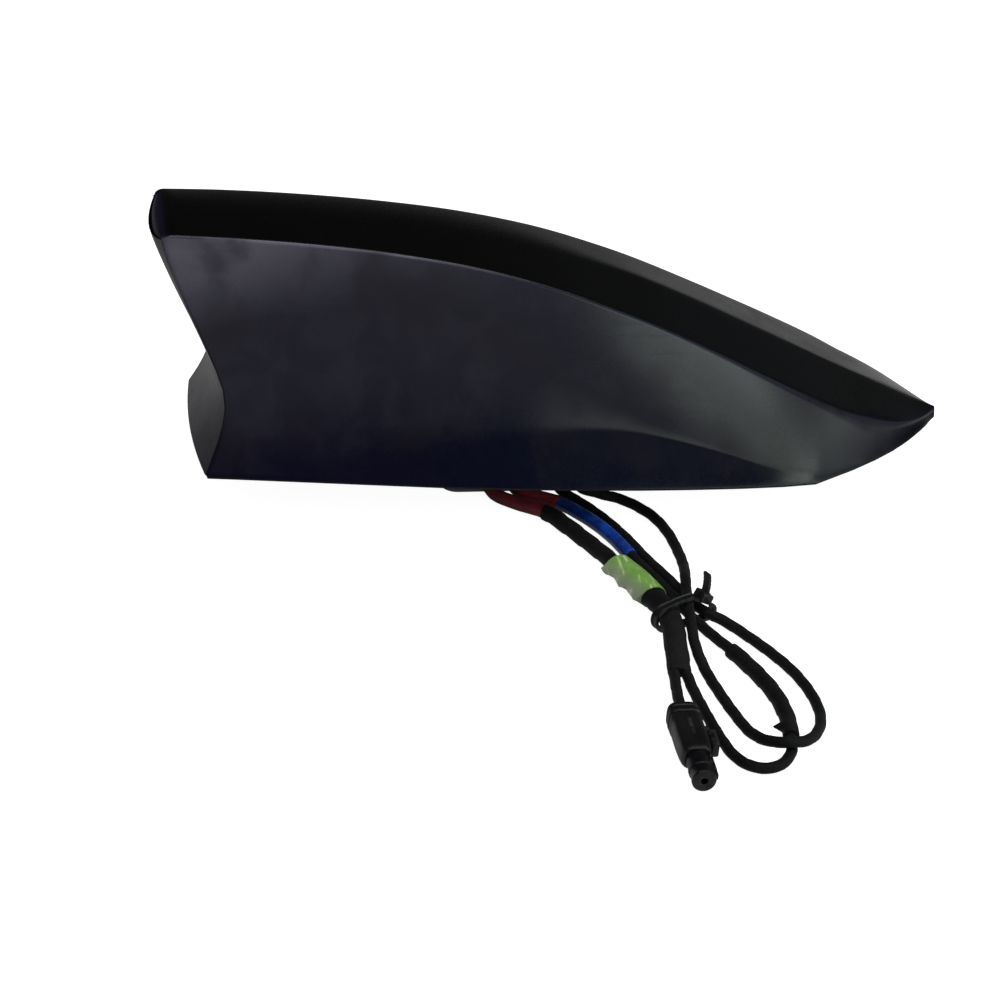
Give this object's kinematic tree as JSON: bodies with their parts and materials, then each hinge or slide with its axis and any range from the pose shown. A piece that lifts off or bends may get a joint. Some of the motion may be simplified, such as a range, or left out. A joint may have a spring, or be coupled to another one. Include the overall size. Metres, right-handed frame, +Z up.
{
  "type": "shark fin aerial",
  "caption": "Roof-mounted shark fin aerial with a ridged cover, a cast base with fixing spigot, antenna boards inside and coaxial leads tied in a loop with a round-nosed plug.",
  "frame": {"origin": "roof plane on the axis of the fixing bolt, at the middle of the spigot", "axes": "+X towards the nose and the front of the car, +Z up out of the roof, -Y the side where the leads leave"},
  "size_m": [0.2048, 0.1849, 0.0747],
  "materials": {
    "cover_plastic": "satin, moulded",
    "seal_rubber": "matt",
    "cast_alloy": "as cast",
    "spring_steel": "bright",
    "board_laminate": "solder mask",
    "tinned_sheet": "tinned",
    "chip_plastic": "matt",
    "patch_ceramic": "unglazed",
    "silver_plating": "satin",
    "contact_brass": "bright",
    "copper_wire": "enamelled",
    "carrier_plastic": "matt",
    "foam": "open foam",
    "lead_jacket": "satin",
    "maroon_tube": "satin",
    "blue_tube": "satin",
    "fleece_tape": "matt",
    "label_paper": "creased",
    "tie_plastic": "satin",
    "plug_plastic": "satin",
    "white_insulator": "matt"
  },
  "bodies": {
    "root": {"fin_cover": "cover_plastic", "base_seal": "seal_rubber", "base_plate": "cast_alloy", "ground_spring": "spring_steel", "snap_springs": "spring_steel", "retaining_clips": "spring_steel", "clip_rivets": "spring_steel", "cable_grommet": "seal_rubber", "inner_leads": "lead_jacket", "main_board": "board_laminate", "board_screws": "spring_steel", "shield_can": "tinned_sheet", "board_chips": "chip_plastic", "navigation_patch": "patch_ceramic", "navigation_electrode": "silver_plating", "radio_patch": "patch_ceramic", "radio_electrode": "silver_plating", "patch_pins": "contact_brass", "front_antenna": "contact_brass", "rear_antenna": "contact_brass", "radio_board": "board_laminate", "antenna_cap": "tinned_sheet", "antenna_frame": "carrier_plastic", "radio_coil": "copper_wire", "foam_pads": "foam", "front_lead": "lead_jacket", "blue_lead": "lead_jacket", "loop_lead": "lead_jacket", "front_maroon_sleeve": "maroon_tube", "rear_maroon_sleeve": "maroon_tube", "blue_sleeve": "blue_tube", "lead_tape": "fleece_tape", "loop_tape": "fleece_tape", "splice_wrap": "fleece_tape", "paper_label": "label_paper", "cable_tie": "tie_plastic", "plug_housing": "plug_plastic", "plug_contact": "contact_brass", "plug_insulator": "white_insulator", "plug_pin": "contact_brass", "plug_lock": "plug_plastic"}
  },
  "joints": []
}
